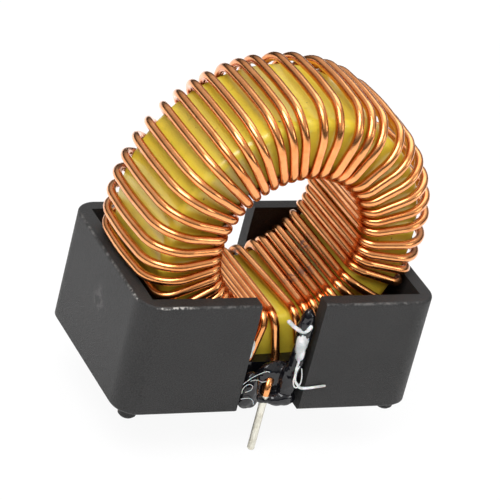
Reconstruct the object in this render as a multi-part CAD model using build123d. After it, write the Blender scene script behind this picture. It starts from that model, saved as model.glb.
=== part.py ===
from build123d import *
import math
import os

os.makedirs("parts", exist_ok=True)

# Millimetres, +Z up. The origin is where the front lead crosses the board, level with the feet.
# The leads lie on the Y axis, so the housing's centre is one lead reach behind the origin.

# housing
housing_length = 26.6
housing_width = 16.5
housing_height = 10.2
wall = 1.3
floor_thickness = 1.0
corner_radius = 2.0
rim_round = 0.25
slot_width = 5.8
slot_width_bottom = 5.6
slot_depth_in_floor = 3.2
foot_height = 0.9
foot_diameter = 1.5
foot_inset_x = 1.6
foot_inset_y = 1.6
foot_sink = 0.4
foot_edge = 0.18
floor_edge = 0.2

# core: a pressed iron powder ring with a painted skin
core_outer = 23.1
core_inner = 13.9
core_thickness = 9.75
core_edge_round = 0.8
core_offset_x = 0.1
core_height = 14.7
core_yaw = 3.2
core_lean = 1.4

# wire
wire_diameter = 0.75
solder_diameter = 0.62
wire_clearance = 0.06
shoulder_bow = 0.55
middle_bow = 0.35
bend_per_shoulder = 2.9
middle_bend = 25.0
side_clearance = 0.12
floor_clearance = 0.25
least_bow = 0.03
least_bore_step = 6.85
relaxing_rounds = 60
tail_angle_front = -85.0
tail_angle_rear = -86.0
tail_radius = 10.9
tail_gap = 0.3

# where the turns sit: angle round the ring of the first turn, then the step from each turn to the next
first_turn = -74.0
turn_steps = [8.0, 6.5, 7.5, 7.0, 8.0, 7.5, 10.0, 6.0, 6.5, 7.5, 9.5, 8.0, 8.0, 9.0, 9.0, 8.5, 10.5,
              6.5, 6.0, 9.5, 7.5, 9.0, 5.7, 5.7, 7.5, 6.0, 6.5, 7.0, 8.0, 7.5, 8.0, 7.5, 7.5, 7.5, 7.0,
              7.5, 7.0, 7.0, 7.5, 7.0, 7.0, 6.5, 6.5, 6.0, 6.0, 6.0]

# resin bed under the ring
bed_length = 17.0
bed_depth = 2.2
bed_side_gap = 1.2
bed_corner = 1.0

# leads
lead_reach = 7.25
lead_length = 3.45
lead_bend_height = 2.8
enamel_end = 1.9
solder_top = 0.6
lead_tip_round = 0.15
lead_bend = 1.0
front_tail_bend = 1.5
rear_tail_bend = 1.2
first_bore_step = 5.0

# lumps of set glue: centre x, y, z and size along x, y, z; the rear ones are placed from the rear lead
front_resin_lumps = [(0.0, 0.95, 2.35, 5.5, 1.5, 2.3), (0.9, 0.85, 3.0, 3.6, 1.4, 3.2),
                     (-1.8, -0.15, 2.5, 1.9, 1.6, 3.6), (-1.3, -0.1, 1.5, 1.3, 1.3, 1.5),
                     (0.1, 0.1, 1.55, 2.2, 1.1, 1.0), (1.2, -0.05, 1.5, 2.2, 1.3, 1.2),
                     (1.8, -0.1, 1.6, 1.9, 1.3, 1.4), (1.85, 0.0, 3.2, 1.8, 1.3, 3.8),
                     (2.05, -0.1, 5.6, 1.4, 1.3, 4.2), (2.0, -0.1, 8.2, 1.5, 1.4, 4.0)]
rear_resin_lumps = [(0.0, -0.75, 2.35, 5.5, 1.7, 2.3), (0.0, 0.05, 1.9, 3.6, 1.5, 1.9),
                    (-1.85, 0.03, 3.3, 1.7, 1.3, 3.8), (1.8, 0.03, 2.8, 1.8, 1.3, 2.8)]
bead_lumps = [(-2.72, -0.4, 6.9, 0.8, 0.9, 1.4), (-2.68, -0.3, 6.2, 0.7, 0.9, 1.2)]
patch_lumps = [(1.9, -0.35, 7.2, 1.1, 0.9, 2.8), (1.95, -0.4, 6.0, 0.8, 0.9, 1.5)]

# strands of hot melt: the points they run through
band_thickness = 0.42
band_bend = 0.4
band_route = [(0.5, 0.15, 8.8), (1.2, -0.2, 8.3), (1.8, -0.55, 8.2), (2.1, -0.7, 8.8)]
string_thickness = 0.26
string_bend = 0.5
string_route = [(1.9, -0.7, 5.9), (1.7, -0.9, 4.9), (1.8, -0.95, 3.8), (2.4, -1.08, 3.1), (3.2, -1.12, 3.15),
                (4.6, -1.1, 3.3)]

housing_bottom = foot_height
housing_top = housing_bottom + housing_height
floor_top = housing_bottom + floor_thickness
centre_y = lead_reach
inner_length = housing_length - 2 * wall
inner_width = housing_width - 2 * wall


def ring_place():
    """Where the ring sits in the housing, a little turned and leaning."""
    return Pos(core_offset_x, centre_y, core_height) * Rot(0, 0, core_yaw) * Rot(core_lean, 0, 0)


def ring_point(angle, radius, along):
    """A point given round the ring, out from its axis and along its axis, in the part's frame."""
    a = math.radians(angle)
    return (ring_place() * Pos(radius * math.cos(a), along, radius * math.sin(a))).position


def ellipsoid(x, y, z, size_x, size_y, size_z):
    """A blob centred on x, y, z."""
    ball = scale(Sphere(1), by=(size_x / 2, size_y / 2, size_z / 2))
    return Pos(x, y, z) * ball


def slot_cutter(side):
    """The tapered notch through one long wall and the floor's edge; side is -1 front, +1 rear."""
    top = slot_width / 2
    bottom = slot_width_bottom / 2
    profile = Polyline((-bottom, 0), (bottom, 0), (top, housing_top + 1), (-top, housing_top + 1), close=True)
    depth = wall + slot_depth_in_floor
    notch = extrude(Plane.XZ * make_face(profile), amount=depth / 2 + 1, both=True)
    return Pos(0, centre_y + side * (housing_width / 2 + 1 - depth / 2), 0) * notch


def foot(x, y):
    """One rounded foot that sinks a little into the floor."""
    height = foot_height + foot_sink
    post = Pos(x, y, height / 2) * Cylinder(foot_diameter / 2, height)
    return chamfer(post.edges().sort_by(Axis.Z)[0], foot_edge)


def base_housing():
    """The moulded cup with a slot in each long wall."""
    block = Box(housing_length, housing_width, housing_height)
    body = Pos(0, centre_y, housing_bottom + housing_height / 2) * block
    body = fillet(body.edges().filter_by(Axis.Z), corner_radius)
    body = fillet(body.faces().sort_by(Axis.Z)[-1].edges(), rim_round)
    body = chamfer(body.faces().sort_by(Axis.Z)[0].edges(), floor_edge)
    hollow_height = housing_height - floor_thickness + 1
    hollow = Box(inner_length, inner_width, hollow_height)
    body -= Pos(0, centre_y, floor_top + hollow_height / 2) * hollow
    body -= slot_cutter(-1)
    body -= slot_cutter(1)
    foot_x = housing_length / 2 - foot_inset_x
    foot_y = housing_width / 2 - foot_inset_y
    for x in (-foot_x, foot_x):
        for y in (centre_y - foot_y, centre_y + foot_y):
            body += foot(x, y)
    return body


def toroid_core():
    """The ring itself, a rectangle with rounded edges turned about its axis."""
    band = (core_outer - core_inner) / 2
    middle = (core_outer + core_inner) / 4
    section = Pos(middle, 0) * RectangleRounded(band, core_thickness, core_edge_round)
    ring = revolve(section, Axis.Y)
    return ring_place() * ring


def rounded_path(points, radii):
    """A line through the points with each inner corner turned into a tangent arc."""
    vectors = [Vector(*p) for p in points]
    edges = []
    start = vectors[0]
    for index in range(1, len(vectors) - 1):
        before, corner, after = vectors[index - 1], vectors[index], vectors[index + 1]
        into = (corner - before).normalized()
        out = (after - corner).normalized()
        turn = math.acos(max(-1.0, min(1.0, into.dot(out))))
        reach = radii[index - 1] * math.tan(turn / 2)
        radius = reach / math.tan(turn / 2)
        arc_start = corner - into * reach
        arc_end = corner + out * reach
        inward = (out - into).normalized()
        arc_middle = corner + inward * (radius * (1 / math.cos(turn / 2) - 1))
        edges.append(Line(start, arc_start))
        edges.append(ThreePointArc(arc_start, arc_middle, arc_end))
        start = arc_end
    edges.append(Line(start, vectors[-1]))
    return edges


def turn_angles():
    """The angle of each strand that runs along the outside of the ring."""
    angles = [first_turn]
    for step in turn_steps:
        angles.append(angles[-1] + step)
    return angles


def bore_angles():
    """The angle of each strand inside the hole, eased apart where the outer ones sit too close for it."""
    angles = turn_angles()
    for _ in range(relaxing_rounds):
        for index in range(len(angles) - 1):
            short = max(0.0, least_bore_step - (angles[index + 1] - angles[index]))
            angles[index] -= short / 2
            angles[index + 1] += short / 2
    return angles


def bow_room(angle):
    """How far a turn may bow out here before it meets the housing's end wall or floor."""
    a = math.radians(angle)
    touching = core_outer / 2 + wire_diameter + wire_clearance
    outer_bow = shoulder_bow + middle_bow
    allowed = outer_bow
    outermost = touching + outer_bow
    if core_height + outermost * math.sin(a) < housing_top + 0.6:
        side_room = inner_length / 2 - abs(core_offset_x)
        side_room -= core_thickness / 2 * math.sin(math.radians(core_yaw))
        if abs(math.cos(a)) > 0.3:
            allowed = min(allowed, side_room / abs(math.cos(a)) - touching - side_clearance)
    if math.sin(a) < -0.3:
        floor_room = core_height - floor_top
        allowed = min(allowed, floor_room / abs(math.sin(a)) - touching - floor_clearance)
    return max(allowed, least_bow)


def winding_points():
    """Corner points and corner radii of the whole wire, from the rear lead's foot to the front lead's."""
    offset = wire_diameter / 2 + wire_clearance
    outside = core_outer / 2 + offset
    inside = core_inner / 2 - offset
    face = core_thickness / 2 + offset
    corner = core_edge_round + offset
    outer_angles = turn_angles()
    inner_angles = bore_angles()
    points = [(0, centre_y + lead_reach, enamel_end), (0, centre_y + lead_reach, lead_bend_height)]
    radii = [lead_bend]
    points.append(ring_point(tail_angle_rear, tail_radius, face + tail_gap))
    radii.append(rear_tail_bend)
    points.append(ring_point(inner_angles[0] - first_bore_step, inside, face))
    radii.append(corner)
    for index, angle in enumerate(outer_angles[:-1]):
        room = bow_room(angle)
        shoulder = room * shoulder_bow / (shoulder_bow + middle_bow)
        bend = corner + bend_per_shoulder * shoulder
        points.append(ring_point(inner_angles[index], inside, -face))
        points.append(ring_point(angle, outside + shoulder, -face - shoulder))
        points.append(ring_point(angle, outside + room, 0))
        points.append(ring_point(angle, outside + shoulder, face + shoulder))
        points.append(ring_point(inner_angles[index + 1], inside, face))
        radii += [corner, bend, middle_bend, bend, corner]
    points.append(ring_point(inner_angles[-1], inside, -face))
    radii.append(corner)
    points.append(ring_point(tail_angle_front, tail_radius, -face - tail_gap))
    radii.append(front_tail_bend)
    points.append((0, centre_y - lead_reach, lead_bend_height))
    radii.append(lead_bend)
    points.append((0, centre_y - lead_reach, enamel_end))
    return points, radii


def copper_winding():
    """One enamelled wire: every turn and the way down to both tinned leads."""
    points, radii = winding_points()
    path = Wire(rounded_path(points, radii))
    start = Plane(origin=Vector(*points[0]), z_dir=(0, 0, 1))
    return sweep(start * Circle(wire_diameter / 2), path=path)


def tinned_lead(y):
    """The wire's stripped and tinned end below its enamel, rounded at the tip and flared to meet the wire."""
    length = solder_top + lead_length
    flare_height = enamel_end - solder_top
    lead = Pos(0, y, solder_top - length / 2) * Cylinder(solder_diameter / 2, length)
    lead = fillet(lead.edges().sort_by(Axis.Z)[0], lead_tip_round)
    flare = Cone(solder_diameter / 2, wire_diameter / 2, flare_height)
    return lead + Pos(0, y, solder_top + flare_height / 2) * flare


def tube(points, diameter, bend):
    """A round strand through the points, with a ball on each end."""
    path = Wire(rounded_path(points, [bend] * (len(points) - 2)))
    first = Vector(*points[0])
    start = Plane(origin=first, z_dir=Vector(*points[1]) - first)
    strand = sweep(start * Circle(diameter / 2), path=path)
    for end in (points[0], points[-1]):
        strand += Pos(*end) * Sphere(diameter / 2)
    return strand


def epoxy_bed():
    """The black casting resin on the housing's floor that holds the ring's lower edge."""
    width = inner_width - 2 * bed_side_gap
    bed = Pos(0, centre_y, floor_top + bed_depth / 2) * Box(bed_length, width, bed_depth)
    return fillet(bed.edges().filter_by(Axis.Z), bed_corner)


def lumps(rows, y=0.0):
    """Blobs melted into one, with their y counted from the given one."""
    mass = None
    for row in rows:
        blob = ellipsoid(row[0], y + row[1], *row[2:])
        mass = blob if mass is None else mass + blob
    return mass


if __name__ == "__main__":
    housing = base_housing()
    core = toroid_core()
    winding = copper_winding()
    bed = epoxy_bed() - core - winding
    front = lumps(front_resin_lumps) - housing - core - winding - bed
    rear = lumps(rear_resin_lumps, 2 * centre_y) - core - winding - bed
    front_lead = tinned_lead(centre_y - lead_reach)
    rear_lead = tinned_lead(centre_y + lead_reach)
    front -= front_lead
    rear -= rear_lead
    bead = lumps(bead_lumps) - housing - core - winding - front
    patch = lumps(patch_lumps) + tube(band_route, band_thickness, band_bend)
    patch = patch - housing - core - winding
    front -= patch
    strings = tube(string_route, string_thickness, string_bend) - housing - front - patch
    export_step(housing, "parts/base_housing.step")
    export_step(core, "parts/toroid_core.step")
    export_step(winding, "parts/copper_winding.step")
    export_step(front_lead, "parts/front_lead_solder.step")
    export_step(rear_lead, "parts/rear_lead_solder.step")
    export_step(bed, "parts/epoxy_bed.step")
    export_step(front, "parts/front_epoxy.step")
    export_step(rear, "parts/rear_epoxy.step")
    export_step(bead, "parts/hot_melt_bead.step")
    export_step(patch, "parts/hot_melt_patch.step")
    export_step(strings, "parts/hot_melt_strings.step")
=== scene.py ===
"""Looks of an upright toroidal choke: painted ring, copper winding, moulded base and its glue."""

import logging
import math
from dataclasses import dataclass, field
from enum import Enum
from typing import Any, Iterable, Sequence

import bmesh
import bpy
from mathutils import Matrix, Vector


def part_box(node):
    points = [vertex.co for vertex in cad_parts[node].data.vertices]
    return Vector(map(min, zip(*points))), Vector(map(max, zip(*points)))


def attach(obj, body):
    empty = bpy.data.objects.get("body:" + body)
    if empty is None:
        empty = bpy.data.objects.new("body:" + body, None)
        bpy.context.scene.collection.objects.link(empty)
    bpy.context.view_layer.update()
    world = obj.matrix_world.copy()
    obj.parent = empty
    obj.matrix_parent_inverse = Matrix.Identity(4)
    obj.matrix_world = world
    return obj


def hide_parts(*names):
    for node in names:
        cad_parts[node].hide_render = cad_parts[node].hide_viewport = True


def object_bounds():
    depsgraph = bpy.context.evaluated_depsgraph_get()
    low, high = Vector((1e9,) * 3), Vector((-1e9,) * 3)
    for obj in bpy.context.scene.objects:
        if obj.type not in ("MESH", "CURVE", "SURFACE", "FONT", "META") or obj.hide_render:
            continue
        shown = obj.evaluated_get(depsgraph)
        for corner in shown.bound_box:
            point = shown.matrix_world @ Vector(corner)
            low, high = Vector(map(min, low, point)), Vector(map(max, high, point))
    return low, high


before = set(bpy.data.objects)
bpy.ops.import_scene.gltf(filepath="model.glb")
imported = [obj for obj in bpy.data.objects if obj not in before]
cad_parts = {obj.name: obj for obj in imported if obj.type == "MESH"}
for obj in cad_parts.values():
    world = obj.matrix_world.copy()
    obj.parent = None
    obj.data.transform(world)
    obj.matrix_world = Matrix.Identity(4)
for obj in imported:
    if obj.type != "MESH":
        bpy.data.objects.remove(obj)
cad_low, cad_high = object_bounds()

MM = 0.001
BODY = "root"
log = logging.getLogger("choke")


class Slot(Enum):
    """The record's material slots."""

    HOUSING = "housing_plastic"
    CORE = "core_paint"
    COPPER = "enamelled_copper"
    SOLDER = "solder"
    RESIN = "black_resin"
    HOT_MELT = "hot_melt"


class Signal:
    """A socket in a node tree that can be used in Python expressions."""

    def __init__(self, shading: "Shading", socket: bpy.types.NodeSocket) -> None:
        """Keeps the socket and the shading that it belongs to."""
        self.shading = shading
        self.socket = socket

    def _math(self, operation: str, *values: Any) -> "Signal":
        """One Math node on these values."""
        return self.shading.node("ShaderNodeMath", {"operation": operation}, dict(enumerate(values)))

    def __add__(self, other: Any) -> "Signal":
        """Sum."""
        return self._math("ADD", self, other)

    __radd__ = __add__

    def __mul__(self, other: Any) -> "Signal":
        """Product."""
        return self._math("MULTIPLY", self, other)

    __rmul__ = __mul__

    def __sub__(self, other: Any) -> "Signal":
        """Difference."""
        return self._math("SUBTRACT", self, other)

    def __rsub__(self, other: Any) -> "Signal":
        """Difference the other way round."""
        return self._math("SUBTRACT", other, self)

    def __truediv__(self, other: Any) -> "Signal":
        """Quotient."""
        return self._math("DIVIDE", self, other)

    def magnitude(self) -> "Signal":
        """Its value without a sign."""
        return self._math("ABSOLUTE", self)

    def clamped(self) -> "Signal":
        """Its value held between 0 and 1."""
        return self.shading.node("ShaderNodeClamp", {}, {"Value": self})

    def ramp(self, low: float, high: float) -> "Signal":
        """A smooth step from 0 at low to 1 at high.

        Args:
            low: The value at which the step starts.
            high: The value at which it ends; below low, the step runs down.

        Returns:
            The step.
        """
        if low < high:
            return self.shading.node(
                "ShaderNodeMapRange",
                {"interpolation_type": "SMOOTHSTEP"},
                {"Value": self, "From Min": low, "From Max": high},
            )
        return 1.0 - self.ramp(high, low)


class Shading:
    """One material's node tree."""

    def __init__(self, name: str) -> None:
        """Makes an empty material with a Principled shader."""
        self.material = bpy.data.materials.new(name)
        self.material.use_nodes = True
        self.tree = self.material.node_tree
        self.shader = self.tree.nodes["Principled BSDF"]
        self._coordinates = self.node("ShaderNodeTexCoord", {}, {}, "Object")

    def node(self, kind: str, settings: dict[str, Any], inputs: dict[Any, Any], output: Any = 0) -> Signal:
        """Adds one node.

        Args:
            kind: The node's type.
            settings: Its own settings, set before its sockets; "stops" fills a colour ramp.
            inputs: Values or signals for its sockets, by name or number.
            output: The socket that is handed back.

        Returns:
            The chosen output.
        """
        made = self.tree.nodes.new(kind)
        for key, value in settings.items():
            if key == "stops":
                self._fill_ramp(made.color_ramp, value)
            else:
                setattr(made, key, value)
        for key, value in inputs.items():
            if isinstance(value, Signal):
                self.tree.links.new(value.socket, made.inputs[key])
            else:
                made.inputs[key].default_value = value
        return Signal(self, made.outputs[output])

    @staticmethod
    def _fill_ramp(ramp: bpy.types.ColorRamp, stops: Sequence[tuple[float, tuple[float, ...]]]) -> None:
        """Sets a colour ramp's stops."""
        while len(ramp.elements) < len(stops):
            ramp.elements.new(0.5)
        for element, (place, colour) in zip(ramp.elements, stops):
            element.position = place
            element.color = colour

    def fixed(self, **values: Any) -> None:
        """Sets the shader's own sockets, with underscores for spaces in their names."""
        for key, value in values.items():
            self.shader.inputs[key.replace("_", " ")].default_value = value

    def feed(self, socket: str, signal: Signal) -> None:
        """Joins a signal to one of the shader's sockets."""
        self.tree.links.new(signal.socket, self.shader.inputs[socket])

    def place(self, scale: tuple[float, float, float] = (1, 1, 1)) -> Signal:
        """Object coordinates, stretched by scale."""
        return self.node("ShaderNodeMapping", {}, {"Vector": self._coordinates, "Scale": scale})

    def axis(self, letter: str) -> Signal:
        """One object coordinate in metres: X, Y or Z."""
        return self.node("ShaderNodeSeparateXYZ", {}, {0: self._coordinates}, letter)

    def noise(self, scale: float, detail: float = 3.0, rough: float = 0.5, warp: float = 0.0,
              stretch: tuple[float, float, float] = (1, 1, 1)) -> Signal:
        """Noise on object coordinates, from 0 to 1.

        Args:
            scale: Its waves per metre.
            detail: How many finer layers it has.
            rough: How strong the finer layers are.
            warp: How far it is warped.
            stretch: A scale for each axis.

        Returns:
            The noise's value.
        """
        return self.node(
            "ShaderNodeTexNoise",
            {},
            {"Vector": self.place(stretch), "Scale": scale, "Detail": detail, "Roughness": rough, "Distortion": warp},
        )

    def near(self, centre: Vector, radius: float) -> Signal:
        """1 at a point in metres, falling to 0 at radius from it."""
        away = self.node(
            "ShaderNodeVectorMath", {"operation": "DISTANCE"}, {0: self._coordinates, 1: tuple(centre)}, "Value"
        )
        return away.ramp(radius, radius * 0.3)

    def mix(self, amount: Any, first: Any, second: Any) -> Signal:
        """A colour between first and second."""
        return self.node(
            "ShaderNodeMix", {"data_type": "RGBA"}, {0: amount, 6: first, 7: second}, 2
        )

    def bump(self, height: Signal, depth: float, strength: float = 1.0) -> None:
        """Feeds the shader's normal from a height of 0 to 1 that is depth metres deep."""
        self.feed("Normal", self.node("ShaderNodeBump", {}, {"Height": height, "Distance": depth, "Strength": strength}))


def colour(red: float, green: float, blue: float) -> tuple[float, float, float, float]:
    """A colour with full alpha."""
    return (red, green, blue, 1.0)


@dataclass(frozen=True)
class HousingPlastic:
    """Black moulded plastic with a fine eroded grain, paler where its rim is rubbed."""

    dark: tuple[float, ...] = colour(0.006, 0.006, 0.006)
    light: tuple[float, ...] = colour(0.027, 0.026, 0.026)
    rubbed: tuple[float, ...] = colour(0.13, 0.125, 0.12)
    rim_band: float = 0.06 * MM

    def build(self) -> bpy.types.Material:
        """Makes the material."""
        s = Shading("housing_plastic")
        low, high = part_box("base_housing")
        centre = (low + high) / 2
        half = (high - low) / 2
        cloud = s.noise(260, 4)
        grain = s.noise(9000, 2, 0.6)
        base = s.mix((cloud * 0.3 + grain * 0.8).ramp(0.35, 0.75), self.dark, self.light)
        from_end = half.x - (s.axis("X") - centre.x).magnitude()
        from_side = half.y - (s.axis("Y") - centre.y).magnitude()
        nearest = s.node("ShaderNodeMath", {"operation": "MINIMUM"}, {0: from_end, 1: from_side})
        under_rim = (high.z - s.axis("Z")).magnitude()
        edge = nearest.ramp(0.24 * MM, self.rim_band) * under_rim.ramp(0.24 * MM, self.rim_band)
        worn = edge * s.noise(1600, 4, 0.7).ramp(0.42, 0.62)
        corner = s.near(Vector((low.x + 1.8 * MM, low.y + 0.9 * MM, high.z)), 3.6 * MM)
        chips = edge * corner * s.noise(4200, 2).ramp(0.50, 0.56)
        gate = Vector((low.x, centre.y - 0.15 * MM, low.z + 6.86 * MM))
        smear = s.near(gate + Vector((0, -0.3 * MM, 0.3 * MM)), 1.5 * MM) * s.noise(1500, 4).ramp(0.4, 0.6)
        amount = (worn * 0.8 + smear * 0.35).clamped()
        tinted = s.mix(amount, base, self.rubbed)
        flecked = s.mix(chips.clamped(), tinted, colour(0.5, 0.48, 0.45))
        s.feed("Base Color", s.mix(s.near(gate, 0.42 * MM), flecked, colour(0.012, 0.012, 0.012)))
        s.feed("Roughness", 0.50 + cloud * 0.16 - worn * 0.08)
        s.bump(grain, 0.07 * MM, 0.9)
        s.fixed(Specular_IOR_Level=0.36)
        return s.material


@dataclass(frozen=True)
class CorePaint:
    """Glossy yellow paint, a little green, mottled over pressed iron powder."""

    bright: tuple[float, ...] = colour(0.74, 0.60, 0.050)
    dull: tuple[float, ...] = colour(0.58, 0.46, 0.035)
    olive: tuple[float, ...] = colour(0.27, 0.22, 0.03)

    def build(self) -> bpy.types.Material:
        """Makes the material."""
        s = Shading("core_paint")
        wash = s.noise(210, 5, 0.6, 0.4)
        streaks = s.noise(420, 4, 0.6, 0.2, (1, 0.25, 1))
        dirt = s.noise(1500, 4, 0.65)
        specks = s.noise(2600, 1).ramp(0.76, 0.80)
        base = s.mix((wash * 0.6 + streaks * 0.5).ramp(0.35, 0.8), self.bright, self.dull)
        stained = s.mix(dirt.ramp(0.55, 0.8) * 0.45, base, self.olive)
        s.feed("Base Color", s.mix(specks * 0.8, stained, colour(0.05, 0.045, 0.02)))
        s.feed("Roughness", 0.24 + wash * 0.18 + dirt * 0.08)
        s.bump(dirt * 0.5 + wash * 0.5, 0.06 * MM, 0.55)
        s.fixed(Coat_Weight=0.35, Coat_Roughness=0.12)
        return s.material


@dataclass(frozen=True)
class EnamelledCopper:
    """Copper wire under clear enamel, with a few varnish smudges in the ring's hole."""

    clean: tuple[float, ...] = colour(0.80, 0.33, 0.115)
    deep: tuple[float, ...] = colour(0.60, 0.20, 0.045)
    varnish: tuple[float, ...] = colour(0.16, 0.09, 0.09)
    smudges: tuple[tuple[float, float, float], ...] = ((3.4, 6.2, 9.0), (4.6, 6.0, 9.9), (5.2, 8.4, 10.9), (0.6, 12.2, 8.4))

    def build(self) -> bpy.types.Material:
        """Makes the material."""
        s = Shading("enamelled_copper")
        drift = s.noise(300, 4, 0.6)
        scuff = s.noise(1900, 3, 0.6, 0.0, (1, 0.3, 1))
        base = s.mix((drift * 0.7 + scuff * 0.35).ramp(0.4, 0.75), self.clean, self.deep)
        marks = 0.0
        for x, y, z in self.smudges:
            marks = s.near(Vector((x, y, z)) * MM, 1.25 * MM) * s.noise(2400, 3).ramp(0.45, 0.6) * 0.7 + marks
        s.feed("Base Color", s.mix(marks.clamped(), base, self.varnish))
        s.feed("Roughness", 0.19 + scuff * 0.10 + marks * 0.2)
        s.bump(scuff, 0.012 * MM, 0.25)
        s.fixed(Metallic=1.0, Coat_Weight=0.4, Coat_Roughness=0.12, Coat_IOR=1.5)
        return s.material


@dataclass(frozen=True)
class SolderCoat:
    """Tin on the lead ends, dull in places."""

    pale: tuple[float, ...] = colour(0.76, 0.74, 0.65)
    grey: tuple[float, ...] = colour(0.60, 0.57, 0.47)

    def build(self) -> bpy.types.Material:
        """Makes the material."""
        s = Shading("solder")
        cloud = s.noise(1300, 4, 0.6, 0.3)
        s.feed("Base Color", s.mix(cloud.ramp(0.4, 0.7), self.pale, self.grey))
        s.feed("Roughness", 0.32 + cloud * 0.25)
        s.bump(cloud, 0.04 * MM, 0.5)
        s.fixed(Metallic=0.85)
        return s.material


@dataclass(frozen=True)
class BlackResin:
    """Glossy black casting resin with ripples and fine dust."""

    base: tuple[float, ...] = colour(0.005, 0.005, 0.007)
    dusty: tuple[float, ...] = colour(0.028, 0.029, 0.033)

    def build(self) -> bpy.types.Material:
        """Makes the material."""
        s = Shading("black_resin")
        ripple = s.noise(700, 3, 0.5, 0.6)
        dust = s.noise(5200, 3, 0.7)
        s.feed("Base Color", s.mix(dust.ramp(0.56, 0.72) * 0.6, self.base, self.dusty))
        s.feed("Roughness", 0.10 + dust.ramp(0.5, 0.8) * 0.3)
        s.bump(ripple * 0.8 + dust * 0.08, 0.10 * MM, 0.6)
        s.fixed(Specular_IOR_Level=0.45)
        return s.material


@dataclass(frozen=True)
class HotMelt:
    """Milky hot-melt glue, nearly white where it is thick."""

    milk: tuple[float, ...] = colour(0.70, 0.72, 0.72)
    thin: tuple[float, ...] = colour(0.42, 0.44, 0.44)

    def build(self) -> bpy.types.Material:
        """Makes the material."""
        s = Shading("hot_melt")
        cloud = s.noise(900, 4, 0.6, 0.3)
        s.feed("Base Color", s.mix(cloud.ramp(0.38, 0.62), self.milk, self.thin))
        s.feed("Roughness", 0.22 + cloud * 0.2)
        s.bump(cloud, 0.09 * MM, 0.6)
        s.fixed(Subsurface_Weight=0.25, Subsurface_Scale=0.4 * MM, Coat_Weight=0.3, Coat_Roughness=0.1)
        return s.material


class Palette:
    """Every finish, made once."""

    def __init__(self) -> None:
        """Builds the materials."""
        self.made = {
            Slot.HOUSING: HousingPlastic().build(),
            Slot.CORE: CorePaint().build(),
            Slot.COPPER: EnamelledCopper().build(),
            Slot.SOLDER: SolderCoat().build(),
            Slot.RESIN: BlackResin().build(),
            Slot.HOT_MELT: HotMelt().build(),
        }

    def dress(self, piece: bpy.types.Object, slot: Slot) -> None:
        """Gives a piece its finish."""
        if not piece.material_slots:
            piece.data.materials.append(None)
        for holder in piece.material_slots:
            holder.material = self.made[slot]


def only(piece: bpy.types.Object) -> None:
    """Makes one piece the only selected and active one."""
    bpy.ops.object.select_all(action="DESELECT")
    piece.select_set(True)
    bpy.context.view_layer.objects.active = piece


def keep(piece: bpy.types.Object, name: str, slot: Slot, palette: Palette, stands_for: Sequence[str] = ()) -> None:
    """Names, dresses and fixes a finished piece to the object.

    Args:
        piece: The piece.
        name: Its name.
        slot: Its finish.
        palette: The finishes.
        stands_for: The CAD nodes that it is shown in place of.
    """
    piece.name = name
    palette.dress(piece, slot)
    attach(piece, BODY)
    if stands_for:
        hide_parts(*stands_for)
    log.info("%s: %d faces", name, len(piece.data.polygons))


@dataclass
class CadDress:
    """The CAD nodes whose shape is right already and only need their finish."""

    palette: Palette
    finishes: dict[str, Slot] = field(
        default_factory=lambda: {
            "base_housing": Slot.HOUSING,
            "toroid_core": Slot.CORE,
            "copper_winding": Slot.COPPER,
            "front_lead_solder": Slot.SOLDER,
            "rear_lead_solder": Slot.SOLDER,
            "epoxy_bed": Slot.RESIN,
        }
    )

    def build(self) -> None:
        """Dresses each node."""
        for name, slot in self.finishes.items():
            self.palette.dress(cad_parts[name], slot)
            log.info("%s dressed", name)


@dataclass
class SetGlue:
    """Glue that flowed and set: each CAD lump remeshed, rippled and smoothed."""

    palette: Palette
    voxel: float = 0.07 * MM
    ripple_size: float = 0.9 * MM

    def build(self) -> None:
        """Makes every lump of resin and hot melt."""
        self._flow("front_epoxy", "front_resin_run", Slot.RESIN, 0.22 * MM)
        self._flow("rear_epoxy", "rear_resin_run", Slot.RESIN, 0.16 * MM)
        self._flow("hot_melt_bead", "milky_bead", Slot.HOT_MELT, 0.10 * MM)
        self._flow("hot_melt_patch", "milky_smear", Slot.HOT_MELT, 0.16 * MM)
        self._flow("hot_melt_strings", "milky_strings", Slot.HOT_MELT, 0.05 * MM)

    def _flow(self, node: str, name: str, slot: Slot, ripple: float) -> None:
        """Turns one CAD lump into a set blob.

        Args:
            node: The CAD node.
            name: The new piece's name.
            slot: Its finish.
            ripple: How deep its ripples are, in metres.
        """
        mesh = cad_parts[node].data.copy()
        piece = bpy.data.objects.new(name, mesh)
        bpy.context.scene.collection.objects.link(piece)
        loose = bmesh.new()
        loose.from_mesh(mesh)
        bmesh.ops.remove_doubles(loose, verts=loose.verts, dist=1e-7)
        loose.to_mesh(mesh)
        loose.free()
        only(piece)
        remesh = piece.modifiers.new("skin", "REMESH")
        remesh.mode = "VOXEL"
        remesh.voxel_size = self.voxel
        bpy.ops.object.modifier_apply(modifier=remesh.name)
        clouds = bpy.data.textures.new(name + "_ripples", "CLOUDS")
        clouds.noise_scale = self.ripple_size
        push = piece.modifiers.new("ripples", "DISPLACE")
        push.texture = clouds
        push.strength = ripple
        push.mid_level = 0.62
        bpy.ops.object.modifier_apply(modifier=push.name)
        soften = piece.modifiers.new("soften", "SMOOTH")
        soften.factor = 0.5
        soften.iterations = 5
        bpy.ops.object.modifier_apply(modifier=soften.name)
        bpy.ops.object.shade_smooth()
        keep(piece, name, slot, self.palette, (node,))


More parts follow.
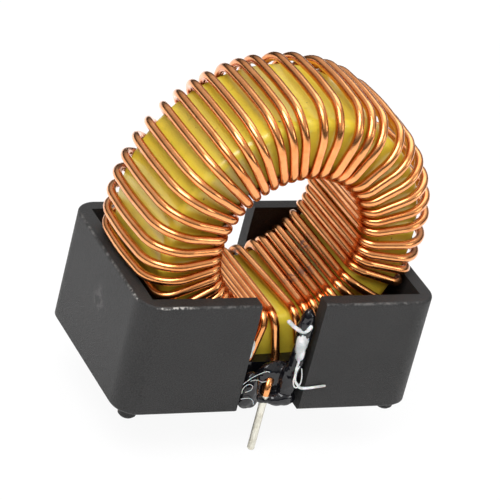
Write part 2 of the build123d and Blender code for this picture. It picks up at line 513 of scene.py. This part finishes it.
@dataclass
class GlueHairs:
    """Hair-thin strands drawn out of the hot melt as the glue gun was pulled away."""

    palette: Palette
    thickness: float = 0.05 * MM

    def build(self) -> None:
        """Makes the curled hairs at the slot's left and the loop at its right."""
        low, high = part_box("base_housing")
        wall_front = low.y
        curls = [
            [(-2.9, -0.25, 3.4), (-2.5, -0.4, 4.1), (-1.8, -0.45, 4.6), (-0.9, -0.35, 4.9), (-0.6, -0.2, 4.6)],
            [(-2.7, -0.3, 2.7), (-2.9, -0.45, 3.3), (-2.4, -0.5, 3.8), (-1.9, -0.45, 3.5), (-2.0, -0.4, 3.0),
             (-2.5, -0.42, 2.9)],
            [(-2.2, -0.3, 3.9), (-1.7, -0.5, 4.2), (-1.3, -0.45, 3.8), (-0.8, -0.4, 3.9)],
            [(-2.6, -0.2, 2.1), (-2.2, -0.45, 2.4), (-1.6, -0.5, 2.2), (-1.5, -0.45, 1.7)],
        ]
        loop = [(1.9, -0.3, 5.2), (1.55, -0.45, 4.4), (1.6, -0.5, 3.6), (2.0, -0.45, 3.1), (2.35, -0.45, 3.5),
                (2.3, -0.4, 4.4), (2.1, -0.35, 5.0)]
        for number, points in enumerate(curls):
            self._strand(f"glue_hair_{number + 1}", points, wall_front, self.thickness)
        self._strand("glue_loop", loop, wall_front, self.thickness * 2.2)

    def _strand(self, name: str, points: Iterable[tuple[float, float, float]], front: float, width: float) -> None:
        """One strand.

        Args:
            name: The piece's name.
            points: Its route in millimetres: across the slot, out of the wall's face, and up.
            front: Where the wall's face is.
            width: The strand's thickness in metres.
        """
        line = bpy.data.curves.new(name, "CURVE")
        line.dimensions = "3D"
        line.bevel_depth = width / 2
        line.bevel_resolution = 2
        line.resolution_u = 8
        line.use_fill_caps = True
        places = [Vector((x * MM, front + (0.35 + y) * MM, z * MM)) for x, y, z in points]
        spline = line.splines.new("NURBS")
        spline.points.add(len(places) - 1)
        for point, place in zip(spline.points, places):
            point.co = (*place, 1)
        spline.order_u = 3
        spline.use_endpoint_u = True
        piece = bpy.data.objects.new(name, line)
        bpy.context.scene.collection.objects.link(piece)
        only(piece)
        bpy.ops.object.convert(target="MESH")
        piece = bpy.context.view_layer.objects.active
        bpy.ops.object.shade_smooth()
        keep(piece, name, Slot.HOT_MELT, self.palette)


@dataclass
class Studio:
    """The pale floor, the soft lights and the camera."""

    azimuth: float = -30.14
    elevation: float = 28.27
    roll: float = 14.58
    distance: float = 263.7 * MM
    lens: float = 232.6
    aim_side: float = -0.57 * MM
    aim_height: float = 10.34 * MM

    def build(self) -> None:
        """Makes everything that isn't the object."""
        self._world()
        self._floor()
        self._lamp("key", (-0.20, -0.16, 0.42), 0.30, 2.1)
        self._lamp("top", (0.14, 0.16, 0.46), 0.40, 1.0)
        self._lamp("side", (0.42, -0.30, 0.20), 0.16, 0.35)
        self._camera()

    def _world(self) -> None:
        """An even pale surround, white where the camera sees it."""
        world = bpy.data.worlds.new("surround")
        bpy.context.scene.world = world
        world.use_nodes = True
        tree = world.node_tree
        back = tree.nodes["Background"]
        back.inputs["Color"].default_value = colour(1, 1, 1)
        heading = tree.nodes.new("ShaderNodeTexCoord")
        split = tree.nodes.new("ShaderNodeSeparateXYZ")
        sky = tree.nodes.new("ShaderNodeMapRange")
        sky.interpolation_type = "SMOOTHSTEP"
        sky.inputs["From Min"].default_value = 0.12
        sky.inputs["From Max"].default_value = 0.62
        sky.inputs["To Min"].default_value = 0.03
        sky.inputs["To Max"].default_value = 0.78
        tree.links.new(heading.outputs["Generated"], split.inputs[0])
        tree.links.new(split.outputs["Z"], sky.inputs["Value"])
        tree.links.new(sky.outputs[0], back.inputs["Strength"])
        seen = tree.nodes.new("ShaderNodeBackground")
        seen.inputs["Color"].default_value = colour(1, 1, 1)
        seen.inputs["Strength"].default_value = 1.0
        rays = tree.nodes.new("ShaderNodeLightPath")
        choose = tree.nodes.new("ShaderNodeMixShader")
        tree.links.new(rays.outputs["Is Camera Ray"], choose.inputs[0])
        tree.links.new(back.outputs[0], choose.inputs[1])
        tree.links.new(seen.outputs[0], choose.inputs[2])
        tree.links.new(choose.outputs[0], tree.nodes["World Output"].inputs["Surface"])

    def _floor(self) -> None:
        """A wide pale floor at the lead tips that keeps a faint shadow."""
        low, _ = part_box("front_lead_solder")
        bpy.ops.object.select_all(action="DESELECT")
        bpy.ops.mesh.primitive_plane_add(size=0.8, location=(0, 0, 0))
        floor = bpy.context.view_layer.objects.active
        floor.name = "floor"
        floor.data.transform(Matrix.Translation((0, 0, low.z)))
        s = Shading("floor_paper")
        s.fixed(Base_Color=colour(0.93, 0.93, 0.93), Roughness=0.9)
        glow = s.tree.nodes.new("ShaderNodeEmission")
        glow.inputs["Strength"].default_value = 1.0
        rays = s.node("ShaderNodeLightPath", {}, {}, "Is Camera Ray")
        choose = s.tree.nodes.new("ShaderNodeMixShader")
        s.tree.links.new((rays * 0.93).socket, choose.inputs[0])
        s.tree.links.new(s.shader.outputs[0], choose.inputs[1])
        s.tree.links.new(glow.outputs[0], choose.inputs[2])
        s.tree.links.new(choose.outputs[0], s.tree.nodes["Material Output"].inputs["Surface"])
        floor.data.materials.append(s.material)

    def _lamp(self, name: str, place: tuple[float, float, float], size: float, power: float) -> None:
        """One soft square lamp turned to the object.

        Args:
            name: Its name.
            place: Where it hangs, in metres.
            size: Its side in metres.
            power: Its power in watts.
        """
        data = bpy.data.lights.new(name, "AREA")
        data.size = size
        data.energy = power
        lamp = bpy.data.objects.new(name, data)
        bpy.context.scene.collection.objects.link(lamp)
        lamp.location = place
        middle = (cad_low + cad_high) / 2
        lamp.rotation_euler = (middle - Vector(place)).to_track_quat("-Z", "Y").to_euler()

    def _camera(self) -> None:
        """The camera, a long lens from the front left and above, rolled a little."""
        low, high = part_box("base_housing")
        foot = 0.9 * MM
        target = Vector(((low.x + high.x) / 2 + self.aim_side, (low.y + high.y) / 2, low.z + foot + self.aim_height))
        turn, rise, roll = (math.radians(v) for v in (self.azimuth, self.elevation, self.roll))
        back = Vector((math.sin(turn) * math.cos(rise), -math.cos(turn) * math.cos(rise), math.sin(rise)))
        level = Vector((0, 0, 1)).cross(back).normalized()
        upright = back.cross(level)
        right = level * math.cos(roll) + upright * math.sin(roll)
        up = upright * math.cos(roll) - level * math.sin(roll)
        data = bpy.data.cameras.new("camera")
        data.lens = self.lens
        data.sensor_width = 36.0
        data.clip_start = 0.01
        data.clip_end = 10.0
        camera = bpy.data.objects.new("camera", data)
        bpy.context.scene.collection.objects.link(camera)
        turned = Matrix((right, up, back)).transposed().to_4x4()
        camera.matrix_world = Matrix.Translation(target + back * self.distance) @ turned
        bpy.context.scene.camera = camera


def main() -> None:
    """Builds the looks in order."""
    logging.basicConfig(level=logging.INFO, format="%(name)s: %(message)s")
    bpy.context.scene.view_settings.view_transform = "Standard"
    palette = Palette()
    CadDress(palette).build()
    SetGlue(palette).build()
    GlueHairs(palette).build()
    Studio().build()


if __name__ == "__main__":
    main()
